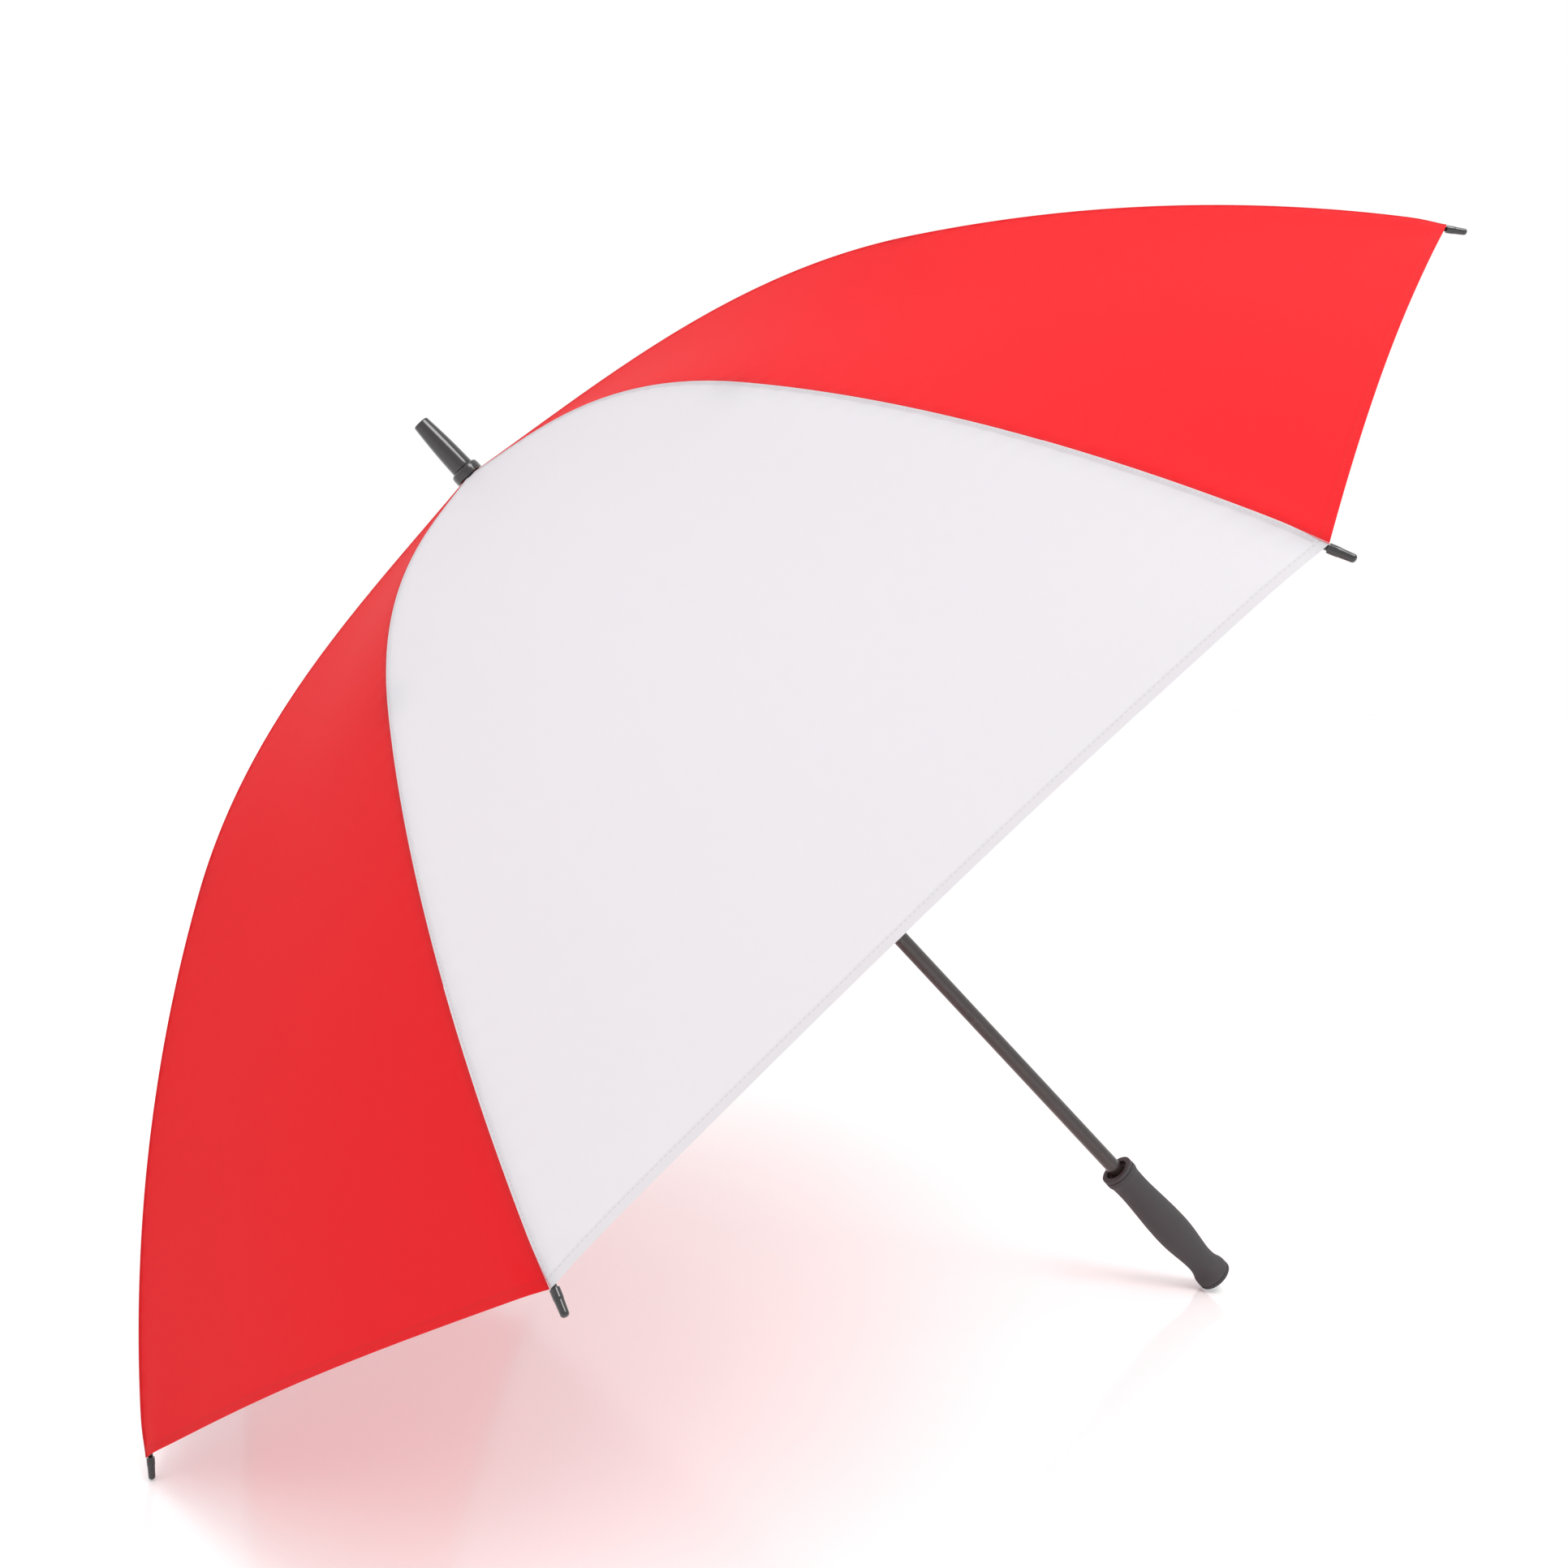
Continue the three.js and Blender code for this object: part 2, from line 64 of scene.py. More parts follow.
# ---- The umbrella's own frame, from the record ----
RIBS = 8
PITCH = 2 * math.pi / RIBS
GRIP_END = -0.601  # the height of the grip's end
MOUNTS = {m["name"]: Vector(m["pos_m"]) for m in frame["record"]["mounts"]}
SLOT_OF = {s["node"]: s["material_slot"] for s in frame["record"]["subparts"]}
UP = (MOUNTS["ferrule_end"] - MOUNTS["grip_end"]).normalized()
RIM_CENTRE = MOUNTS["grip_end"] - UP * GRIP_END
SIDE = Vector((0, 1, 0))
TOP = SIDE.cross(UP)  # local +X, the canopy's high side
TO_WORLD = Matrix((TOP, SIDE, UP)).transposed().to_4x4()
TO_WORLD.translation = RIM_CENTRE


def world(radius, azimuth, height):
    """The row-frame point at a radius, azimuth and height of the umbrella's own frame."""
    return TO_WORLD @ Vector((radius * math.cos(azimuth), radius * math.sin(azimuth), height))


def rib_azimuth(k):
    return -PITCH * (k - 0.5)


def rib_plane(azimuth, x, y, z):
    """A row-frame point from the rib's plane: x outward, y across, z up the shaft."""
    return TO_WORLD @ (Matrix.Rotation(azimuth, 4, "Z") @ Vector((x, y, z)))


# ---- Plane curves: (radius, height) in a rib's plane ----
def left_of(tangent):
    return np.array([-tangent[1], tangent[0]])


class Bow:
    """A curve from a to b that bows out by sagitta; skew moves the bow towards b. u is 0 to 1."""

    LENGTH_STEPS = 64

    def __init__(self, a, b, sagitta, skew=0.0):
        self.start, self.chord = np.array(a), np.array(b) - np.array(a)
        self.out = left_of(self.chord) / np.linalg.norm(self.chord)
        self.sagitta, self.skew = sagitta, skew
        points = [self.at(i / self.LENGTH_STEPS) for i in range(self.LENGTH_STEPS + 1)]
        self.length = sum(np.linalg.norm(q - p) for p, q in zip(points, points[1:]))

    def lean(self, u):
        return 1 + self.skew * (2 * u - 1)

    def tangent(self, u):
        slope = 4 * self.sagitta * ((1 - 2 * u) * self.lean(u) + 2 * self.skew * u * (1 - u))
        along = self.chord + self.out * slope
        return along / np.linalg.norm(along)

    def at(self, u, offset=0.0):
        height = 4 * self.sagitta * u * (1 - u) * self.lean(u)
        return self.start + self.chord * u + self.out * height + left_of(self.tangent(u)) * offset


INNER_SAGITTA = 0.0195
INNER_SKEW = 0.45
OUTER_SAGITTA = 0.0160
CROWN = (0.008, 0.3435)
KNEE = (0.377, 0.2455)
RIM = (0.660, 0.0)
CANOPY_INNER = Bow(CROWN, KNEE, INNER_SAGITTA, INNER_SKEW)
CANOPY_OUTER = Bow(KNEE, RIM, OUTER_SAGITTA)
CANOPY_LENGTH = CANOPY_INNER.length + CANOPY_OUTER.length
ROD_DROP = 0.0043  # from the cloth down to the middle of the rib's rod
CROWN_PIN = (0.012, 0.339)
ELBOW = CANOPY_OUTER.at(0, -ROD_DROP)
RIB_END = CANOPY_OUTER.at(1, -ROD_DROP)
RIB_INNER = Bow(CROWN_PIN, ELBOW, INNER_SAGITTA, INNER_SKEW)
RIB_OUTER = Bow(ELBOW, RIB_END, OUTER_SAGITTA)


# ---- Material nodes ----
def set_inputs(tree, made, inputs):
    """Links a node's input where the value is a socket, and sets it where it isn't."""
    for key, value in inputs.items():
        if isinstance(value, bpy.types.NodeSocket):
            tree.links.new(value, made.inputs[key])
        else:
            made.inputs[key].default_value = value


def node(tree, kind, inputs, **settings):
    made = tree.nodes.new(kind)
    for key, value in settings.items():
        setattr(made, key, value)
    set_inputs(tree, made, inputs)
    return made


def new_material(name):
    material = bpy.data.materials.new(name)
    material.use_nodes = True
    tree = material.node_tree
    tree.nodes.clear()
    output = tree.nodes.new("ShaderNodeOutputMaterial")
    shader = tree.nodes.new("ShaderNodeBsdfPrincipled")
    tree.links.new(shader.outputs["BSDF"], output.inputs["Surface"])
    return material, tree, shader, output


def maths(tree, operation, a, b=0.0):
    return node(tree, "ShaderNodeMath", {0: a, 1: b}, operation=operation).outputs[0]


def noise(tree, place, scale, detail=2.0):
    inputs = {"Vector": place, "Scale": scale, "Detail": detail}
    return node(tree, "ShaderNodeTexNoise", inputs).outputs["Fac"]


def attribute(tree, name):
    return node(tree, "ShaderNodeAttribute", {}, attribute_name=name).outputs["Fac"]


def object_place(tree):
    return node(tree, "ShaderNodeTexCoord", {}).outputs["Object"]


def mix_colours(tree, factor, a, b):
    """From a to b by factor; each end is a socket or an (r, g, b)."""
    a, b = (end if isinstance(end, bpy.types.NodeSocket) else (*end, 1) for end in (a, b))
    inputs = {"Factor": factor, "A": a, "B": b}
    return node(tree, "ShaderNodeMix", inputs, data_type="RGBA").outputs["Result"]


def bump(tree, height, strength, distance, under=None):
    """A bumped normal, on top of another one where it is given."""
    inputs = {"Height": height, "Strength": strength, "Distance": distance}
    if under is not None:
        inputs["Normal"] = under
    return node(tree, "ShaderNodeBump", inputs).outputs["Normal"]


# ---- Materials ----
YARN_PITCH = 0.0007
STITCH_LENGTH = 0.0030
STITCH_CORE = 0.72  # the thread shows where the stitch line's attribute is above this
STITCH_GAP = -0.35  # and where the wave along the line is above this
THREAD_SHARE = 0.40  # how far the stitches go from the cloth's colour to the thread's
DOUBLED_SHARE = 0.35  # and doubled cloth to its darker colour
THROUGH_SHARE = 0.30  # of the light goes through the cloth


def fabric_material(name, colour, shade, through):
    """Woven polyester: weave and stitches follow the UVs, which are in metres."""
    material, tree, shader, output = new_material(name)
    uv = node(tree, "ShaderNodeUVMap", {}, uv_map="cloth").outputs["UV"]
    split = node(tree, "ShaderNodeSeparateXYZ", {"Vector": uv})
    across, along = split.outputs["X"], split.outputs["Y"]
    yarn = 2 * math.pi / YARN_PITCH
    warp = maths(tree, "SINE", maths(tree, "MULTIPLY", across, yarn))
    weft = maths(tree, "SINE", maths(tree, "MULTIPLY", along, yarn))
    weave = maths(tree, "MULTIPLY", warp, weft)
    slub = noise(tree, uv, scale=90.0, detail=3.0)
    cloud = noise(tree, uv, scale=5.0)
    mottling = maths(tree, "ADD", maths(tree, "MULTIPLY", cloud, 0.6),
                     maths(tree, "MULTIPLY", slub, 0.4))
    rows = []
    for line, run in (("hem_stitch", across), ("seam_stitch", along)):
        wave = maths(tree, "SINE", maths(tree, "MULTIPLY", run, 2 * math.pi / STITCH_LENGTH))
        core = maths(tree, "GREATER_THAN", attribute(tree, line), STITCH_CORE)
        rows.append(maths(tree, "MULTIPLY", core, maths(tree, "GREATER_THAN", wave, STITCH_GAP)))
    on_stitch = maths(tree, "MAXIMUM", *rows)

    # The "doubled" attribute is 1 on the folded hem and along the felled seams.
    darker = tuple(c * 0.80 for c in colour)
    thread = tuple(min(1.0, c * 0.55 + 0.02) for c in colour)
    single = mix_colours(tree, mottling, shade, colour)
    doubled = maths(tree, "MULTIPLY", attribute(tree, "doubled"), DOUBLED_SHARE)
    hemmed = mix_colours(tree, doubled, single, darker)
    stitched = mix_colours(tree, maths(tree, "MULTIPLY", on_stitch, THREAD_SHARE), hemmed, thread)
    relief = maths(tree, "ADD", maths(tree, "MULTIPLY", weave, 0.5),
                   maths(tree, "MULTIPLY", on_stitch, 0.8))
    woven = bump(tree, relief, strength=0.25, distance=0.00012)
    set_inputs(tree, shader, {
        "Base Color": stitched,
        "Roughness": 0.62,
        "Sheen Weight": 0.02,
        "Sheen Roughness": 0.4,
        "Specular IOR Level": 0.15,
        "Normal": bump(tree, slub, strength=0.12, distance=0.0004, under=woven),
    })
    translucent = node(tree, "ShaderNodeBsdfTranslucent", {"Color": (*through, 1)})
    cloth = node(tree, "ShaderNodeMixShader", {
        "Fac": THROUGH_SHARE,
        1: shader.outputs["BSDF"],
        2: translucent.outputs["BSDF"],
    })
    tree.links.new(cloth.outputs["Shader"], output.inputs["Surface"])
    return material


def moulded_material(name, colour, roughness, grain, depth, coat=0.0):
    """Moulded plastic or rubber: a fine grain, cloudy roughness and lighter worn spots."""
    material, tree, shader, _ = new_material(name)
    place = object_place(tree)
    cloudy = noise(tree, place, scale=45.0, detail=3.0)
    grainy = noise(tree, place, scale=grain, detail=4.0)
    worn = tuple(min(1.0, c * 1.35 + 0.004) for c in colour)
    set_inputs(tree, shader, {
        "Base Color": mix_colours(tree, maths(tree, "MULTIPLY", cloudy, 0.7), colour, worn),
        "Roughness": maths(tree, "ADD", maths(tree, "MULTIPLY", cloudy, 0.12), roughness - 0.06),
        "Coat Weight": coat,
        "Normal": bump(tree, grainy, strength=0.5, distance=depth),
    })
    return material


def fibreglass_material():
    """Lacquered wound fibreglass: dark brown, with a slightly wavy gloss along the shaft."""
    material, tree, shader, _ = new_material("lacquered_fibreglass")
    place = object_place(tree)
    fibre = noise(tree, place, scale=240.0, detail=4.0)
    ripple = noise(tree, place, scale=32.0, detail=1.5)
    wavy = bump(tree, ripple, strength=0.55, distance=0.0011)
    set_inputs(tree, shader, {
        "Base Color": mix_colours(tree, fibre, (0.012, 0.009, 0.009), (0.040, 0.029, 0.025)),
        "Roughness": 0.22,
        "Coat Weight": 0.6,
        "Coat Roughness": 0.08,
        "Normal": bump(tree, fibre, strength=0.2, distance=0.0002, under=wavy),
    })
    return material


def metal_material(name, colour, roughness, metallic):
    """Drawn wire or painted sheet: a fine unevenness in its gloss and surface."""
    material, tree, shader, _ = new_material(name)
    uneven = noise(tree, object_place(tree), scale=160.0, detail=5.0)
    set_inputs(tree, shader, {
        "Base Color": (*colour, 1),
        "Metallic": metallic,
        "Roughness": maths(tree, "ADD", maths(tree, "MULTIPLY", uneven, 0.2), roughness - 0.1),
        "Normal": bump(tree, uneven, strength=0.25, distance=0.0002),
    })
    return material


# Fabric: colour, its darker shade, and the colour of the light that comes through.
RED = fabric_material(
    "red_polyester", (0.72, 0.006, 0.012), (0.66, 0.004, 0.009), (0.86, 0.016, 0.020))
WHITE = fabric_material(
    "white_polyester", (0.70, 0.695, 0.725), (0.67, 0.675, 0.705), (0.72, 0.715, 0.745))
# Moulded: colour, roughness, grain's scale and depth, clear coat.
BLACK = moulded_material(
    "gloss_black_plastic", (0.010, 0.008, 0.009), 0.20, 900.0, 0.00006, coat=0.5)
BUTTON = moulded_material("red_button_plastic", (0.45, 0.015, 0.02), 0.32, 900.0, 0.00006)
RUBBER = moulded_material("matte_grip_rubber", (0.040, 0.038, 0.041), 0.66, 1500.0, 0.00022)
FIBREGLASS = fibreglass_material()
# Metal: colour, roughness, metallic.
WIRE = metal_material("bright_steel_wire", (0.58, 0.58, 0.60), 0.28, 1.0)
STRETCHER = metal_material("black_painted_steel", (0.018, 0.018, 0.020), 0.38, 0.2)
LOOKS = {
    "red_fabric": RED,
    "white_fabric": WHITE,
    "fibreglass": FIBREGLASS,
    "black_plastic": BLACK,
    "button_plastic": BUTTON,
    "steel_wire": WIRE,
    "stretcher_steel": STRETCHER,
    "grip_rubber": RUBBER,
}
for node_name, obj in frame["nodes"].items():
    obj.data.materials.clear()
    obj.data.materials.append(LOOKS[SLOT_OF[node_name]])


# ---- Piece builders ----
def piece(name, vertices, faces, material):
    mesh = bpy.data.meshes.new(name)
    mesh.from_pydata([tuple(v) for v in vertices], [], faces)
    mesh.materials.append(material)
    mesh.polygons.foreach_set("use_smooth", [True] * len(mesh.polygons))
    obj = bpy.data.objects.new(name, mesh)
    bpy.context.scene.collection.objects.link(obj)
    return obj


def face_outward(obj):
    bm = bmesh.new()
    bm.from_mesh(obj.data)
    bmesh.ops.recalc_face_normals(bm, faces=bm.faces)
    bm.to_mesh(obj.data)
    bm.free()


def sharpen(obj, degrees):
    """Crisp edges where faces meet at more than an angle, smooth shading elsewhere."""
    obj.data.set_sharp_from_angle(angle=math.radians(degrees))


ON_AXIS = 1e-6


def turned(name, profile, material, place, sides, crisp):
    """A piece turned from (radius, height) points, where place(radius, height, turn) is the
    row-frame point. A profile's end that lies on the axis closes the piece there."""
    vertices, rings, faces = [], [], []
    for radius, height in profile:
        on_axis = radius < ON_AXIS
        count = 1 if on_axis else sides
        rings.append(range(len(vertices), len(vertices) + count))
        for i in range(count):
            vertices.append(place(0 if on_axis else radius, height, 2 * math.pi * i / sides))
    for low, high in zip(rings, rings[1:]):
        for i in range(sides):
            j = (i + 1) % sides
            corners = (low[i % len(low)], low[j % len(low)],
                       high[j % len(high)], high[i % len(high)])
            faces.append(list(dict.fromkeys(corners)))
    obj = piece(name, vertices, faces, material)
    face_outward(obj)
    sharpen(obj, crisp)
    return obj


def lathe(name, profile, material, sides=96):
    """A piece turned about the shaft's axis."""
    def place(radius, height, turn):
        return world(radius, turn, height)

    return turned(name, profile, material, place, sides, crisp=35)


def rounded(profile, radius=0.0004, steps=4):
    """Rounds each inner corner of a profile with a small arc, which takes less than half a side."""
    made = [np.array(profile[0])]
    for before, here, after in zip(profile, profile[1:], profile[2:]):
        before, here, after = map(np.array, (before, here, after))
        back, on = np.linalg.norm(before - here), np.linalg.norm(after - here)
        r = min(radius, back * 0.45, on * 0.45)
        start = here + (before - here) / back * r
        end = here + (after - here) / on * r
        for i in range(steps + 1):
            t = i / steps
            made.append((1 - t) ** 2 * start + 2 * t * (1 - t) * here + t**2 * end)
    made.append(np.array(profile[-1]))
    return made


def closed_turn(profile):
    """A ring's profile, closed on itself and rounded at every corner."""
    middle = (np.array(profile[0]) + np.array(profile[1])) / 2
    return rounded([middle, *profile[1:], profile[0], middle])


def smooth_curve(points, steps=10):
    """Catmull-Rom through (radius, height) points."""
    points = [np.array(p) for p in points]
    padded = [2 * points[0] - points[1], *points, 2 * points[-1] - points[-2]]
    made = []
    for a, b, c, d in zip(padded, padded[1:], padded[2:], padded[3:]):
        for i in range(steps):
            t = i / steps
            made.append(0.5 * (2 * b + (c - a) * t + (2 * a - 5 * b + 4 * c - d) * t**2
                               + (3 * b - 3 * c + d - a) * t**3))
    made.append(points[-1])
    return made


def softened(name, node_name, body, width, segments=2, extra=None):
    """A CAD node's shape with its hard edges rounded over, joined with any extra vertices and
    faces."""
    bm = bmesh.new()
    bm.from_mesh(frame["nodes"][node_name].data)
    bmesh.ops.remove_doubles(bm, verts=bm.verts, dist=1e-6)
    bmesh.ops.dissolve_limit(bm, angle_limit=math.radians(1), verts=bm.verts, edges=bm.edges)
    hard = [e for e in bm.edges if e.is_manifold and e.calc_face_angle() > math.radians(28)]
    bmesh.ops.bevel(bm, geom=hard, offset=width, offset_type="OFFSET", segments=segments,
                    profile=0.5, affect="EDGES", clamp_overlap=True)
    if extra:
        made = [bm.verts.new(v) for v in extra[0]]
        for corners in extra[1]:
            bm.faces.new([made[i] for i in corners])
    bmesh.ops.recalc_face_normals(bm, faces=bm.faces)
    obj = piece(name, [], [], LOOKS[SLOT_OF[node_name]])
    bm.to_mesh(obj.data)
    bm.free()
    obj.data.polygons.foreach_set("use_smooth", [True] * len(obj.data.polygons))
    sharpen(obj, 40)
    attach(obj, body)
    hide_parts(node_name)


# ---- Shaft, ferrule and grip: every profile is (radius, height) ----
def on_root(obj, *nodes):
    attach(obj, "root")
    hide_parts(*nodes)


CLEAR = 0.0003
SHAFT_RADIUS = 0.00675
SHAFT_BORE = 0.0052
SHAFT_ROWS = 60
BORE = SHAFT_RADIUS + CLEAR  # of the parts that sit round the shaft
PLUG_RADIUS = SHAFT_BORE - CLEAR  # of the stems that go into it
PLUG_LENGTH = 0.020
COLLAR_BOTTOM, COLLAR_TOP = 0.3439, 0.3520
COLLAR_RADIUS = 0.0122
FERRULE_END = 0.3996
RING_BORE, RING_RADIUS, RING_HEIGHT = 0.0102, 0.0150, 0.0032
GRIP_TOP = -0.462
CAP_RADIUS, CAP_HEIGHT = 0.0156, 0.0034
CAP_EDGE = 0.001  # the bevel round the cap's end

shaft_bottom = GRIP_END + CAP_HEIGHT + 2 * CLEAR
shaft_top = COLLAR_TOP - CLEAR
shaft_profile = [(SHAFT_BORE, shaft_bottom)]
for i in range(SHAFT_ROWS + 1):
    height = shaft_bottom + (shaft_top - shaft_bottom) * i / SHAFT_ROWS
    shaft_profile.append((SHAFT_RADIUS, height))
shaft_profile += [(SHAFT_BORE, shaft_top), (SHAFT_BORE, shaft_bottom)]
on_root(lathe("shaft_tube", shaft_profile, FIBREGLASS, sides=64), "shaft")

# The ferrule tapers from its base to its tip, a little fuller than straight.
FERRULE_BASE, FERRULE_TAPER, FERRULE_FULLNESS = 0.0092, 0.0026, 0.0005
FERRULE_ROWS = 14
ferrule_bottom = COLLAR_TOP + CLEAR
ferrule_shoulder = FERRULE_END - 0.0009
skirt = []
for i in range(FERRULE_ROWS + 1):
    t = i / FERRULE_ROWS
    skirt.append((FERRULE_BASE - FERRULE_TAPER * t + FERRULE_FULLNESS * math.sin(math.pi * t),
                  ferrule_bottom + (ferrule_shoulder - ferrule_bottom) * t))
ferrule_profile = [
    (0, ferrule_bottom - PLUG_LENGTH),
    (PLUG_RADIUS, ferrule_bottom - PLUG_LENGTH),
    (PLUG_RADIUS, ferrule_bottom),
    *skirt,
    (0.0062, FERRULE_END - 0.0002),
    (0.0056, FERRULE_END),
    (0, FERRULE_END),
]
on_root(lathe("ferrule_spike", rounded(ferrule_profile, 0.0003, 3), BLACK), "ferrule")

collar_profile = [
    (BORE, COLLAR_BOTTOM),
    (COLLAR_RADIUS, COLLAR_BOTTOM),
    (COLLAR_RADIUS, COLLAR_TOP - 0.0032),
    (0.0118, COLLAR_TOP - 0.0012),
    (0.0104, COLLAR_TOP),
    (BORE, COLLAR_TOP),
]
on_root(lathe("crown_collar", closed_turn(collar_profile), BLACK), "ferrule_collar")

ring_profile = [
    (RING_BORE, GRIP_TOP - RING_HEIGHT),
    (RING_RADIUS, GRIP_TOP - RING_HEIGHT),
    (RING_RADIUS, GRIP_TOP),
    (RING_BORE, GRIP_TOP),
]
on_root(lathe("grip_ring", closed_turn(ring_profile), RUBBER), "grip_top_ring")

# The grip's outline: (share of its length from the top, radius)
GRIP_OUTLINE = [
    (0, 0.0151), (0.035, 0.0151), (0.075, 0.0139), (0.2, 0.0137), (0.45, 0.0156),
    (0.62, 0.0156), (0.82, 0.0127), (0.9, 0.0130), (0.955, 0.0152), (1, 0.0156),
]
GRIP_EDGE = 0.0007  # how far the grip's top edge is drawn in; the bottom edge is half of it
grip_top = GRIP_TOP - RING_HEIGHT - CLEAR
grip_bottom = GRIP_END + CAP_HEIGHT + CLEAR
outline = smooth_curve([(r, grip_top + (grip_bottom - grip_top) * t) for t, r in GRIP_OUTLINE])
grip_profile = [
    (BORE, grip_bottom),
    (BORE, grip_top),
    (outline[0][0] - GRIP_EDGE, grip_top),
    *outline[1:-1],
    (outline[-1][0] - GRIP_EDGE / 2, grip_bottom),
    (BORE, grip_bottom),
]
on_root(lathe("grip_body", grip_profile, RUBBER), "handle_grip")

cap_top = GRIP_END + CAP_HEIGHT
cap_profile = [
    (0, GRIP_END),
    (0.0144, GRIP_END),
    (CAP_RADIUS, GRIP_END + CAP_EDGE),
    (CAP_RADIUS, cap_top),
    (PLUG_RADIUS, cap_top),
    (PLUG_RADIUS, cap_top + PLUG_LENGTH),
    (0, cap_top + PLUG_LENGTH),
]
on_root(lathe("grip_cap", rounded(cap_profile, 0.0006), RUBBER), "grip_end_cap")


# ---- Ribs, tips and stretchers ----
ROD_RADIUS = 0.00163
ROD_STEPS = 40
ROD_SIDES = 16
ROD_DOME = [(0.45, 0.35), (0.85, 0.12)]  # (share of the radius, how many radii past the end)
BLADE_LENGTH = 0.010  # each rib starts with a flat blade; the round rod begins after it
ROD_STOP = 0.011  # the inner rod ends inside the fork's root, this far before the elbow


def round_rod(azimuth, curve, start, end):
    """Vertices and faces of a round rod with domed ends, along a plane curve from start to end."""
    body = [start + (end - start) * i / ROD_STEPS for i in range(ROD_STEPS + 1)]
    rings = [
        *((start, share, -shift) for share, shift in ROD_DOME),
        *((u, 1.0, 0.0) for u in body),
        *((end, share, shift) for share, shift in reversed(ROD_DOME)),
    ]
    vertices, faces = [], []
    for u, share, shift in rings:
        tangent = curve.tangent(u)
        centre = curve.at(u) + tangent * ROD_RADIUS * shift
        for i in range(ROD_SIDES):
            turn = 2 * math.pi * i / ROD_SIDES
            out = centre + left_of(tangent) * math.cos(turn) * ROD_RADIUS * share
            side = math.sin(turn) * ROD_RADIUS * share
            vertices.append(rib_plane(azimuth, out[0], side, out[1]))
    last = (len(rings) - 1) * ROD_SIDES
    for low in range(0, last, ROD_SIDES):
        high = low + ROD_SIDES
        for i in range(ROD_SIDES):
            j = (i + 1) % ROD_SIDES
            faces.append([low + i, low + j, high + j, high + i])
    faces.append(list(range(ROD_SIDES - 1, -1, -1)))
    faces.append(list(range(last, last + ROD_SIDES)))
    return vertices, faces


softened("runner_body", "runner", "runner", 0.0004)
softened("button_pad", "release_button", "release_button", 0.0006, 3)
softened("notch_ring", "crown_notch", "root", 0.00035)
softened("stop_ring", "runner_stop", "root", 0.0005)
for k in range(1, RIBS + 1):
    inner_rod = round_rod(rib_azimuth(k), RIB_INNER,
                          BLADE_LENGTH / RIB_INNER.length, 1 - ROD_STOP / RIB_INNER.length)
    outer_rod = round_rod(rib_azimuth(k), RIB_OUTER, BLADE_LENGTH / RIB_OUTER.length, 1.0)
    softened(f"inner_rod_{k}", f"rib_{k}_inner", f"rib_{k}_inner", 0.00025, extra=inner_rod)
    softened(f"outer_rod_{k}", f"rib_{k}_outer", f"rib_{k}_outer", 0.00025, extra=outer_rod)
    softened(f"stretcher_bar_{k}", f"stretcher_{k}", f"stretcher_{k}", 0.0004)

# The tip cap: (radius, distance from its open end)
TIP_PROFILE = [
    (0, 0.0), (0.0024, 0.0), (0.0026, 0.0003), (0.0026, 0.0045), (0.0024, 0.0060),
    (0.0022, 0.0118), (0.0020, 0.0130), (0.0014, 0.0137), (0.0007, 0.01395), (0, 0.014),
]


def tip_cap(k):
    tangent = RIB_OUTER.tangent(1)

    def place(radius, height, turn):
        centre = RIB_END + tangent * CLEAR + tangent * height
        out = centre + left_of(tangent) * math.cos(turn) * radius
        return rib_plane(rib_azimuth(k), out[0], math.sin(turn) * radius, out[1])

    profile = smooth_curve(TIP_PROFILE, 3)
    obj = turned(f"tip_cap_{k}", profile, BLACK, place, sides=24, crisp=50)
    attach(obj, f"rib_{k}_outer")
    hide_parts(f"rib_{k}_tip")


# ---- Canopy: "along" is 0 at the crown, 0.5 at the knee and 1 at the hem; "across" is 1 at the
# panel's own rib and -1 at the next one ----
HEM_BOW = 0.007  # how far the hem curves in between the ribs, as a share of the length
HEM_WIDTH = 0.0065
SEAM_WIDTH = 0.0028
HEM_STITCH = HEM_WIDTH * 0.75  # from the hem's edge
SEAM_STITCH = SEAM_WIDTH * 0.5  # from the seam
STITCH_REACH = 0.0004
FOLD = 0.00025  # how far doubled cloth stands proud
FOLD_STEP = 0.0006  # the width of the step up to it
PANEL_SAG = 0.006
PHASE_STEP = 1.7  # so that no two panels have the same folds
PUCKER_DEPTH, PUCKER_SPACING, PUCKER_REACH = 0.00035, 0.017, 0.012
CORNER_DEPTH, CORNER_WAVES, CORNER_REACH = 0.0011, 2.6, 0.11
CORNER_WIDTH, CORNER_FAN = 0.012, 0.35  # the folds' width at the corner, and how they fan out
PUCKER_EASE, CORNER_EASE = 0.004, 0.006  # both start from nothing on the seam itself
SLACK_DEPTH, SLACK_ALONG, SLACK_ACROSS = 0.0016, 6.5, 3.0
TACK_DEPTH, TACK_HEM_REACH, TACK_SEAM_REACH = 0.0016, 0.014, 0.010
CLOTH_ROWS = 60
CLOTH_COLUMNS = 22
LEAST_WIDTH = 0.003  # near the crown the columns are spaced as if a half panel were this wide
SEAM_SHARE = 0.6  # the most of a half panel's width that the seam's columns take
NORMAL_STEP = 1e-4
WIDTH_SAMPLES = 21


def is_red(k):
    return k % 2 == 1


def canopy_at(along):
    """The canopy's curve at a place along it, and the place on that curve."""
    return (CANOPY_INNER, 2 * along) if along < 0.5 else (CANOPY_OUTER, 2 * along - 1)


def cloth_width(along):
    curve, u = canopy_at(along)
    return curve.at(u)[0] * math.sin(PITCH / 2)


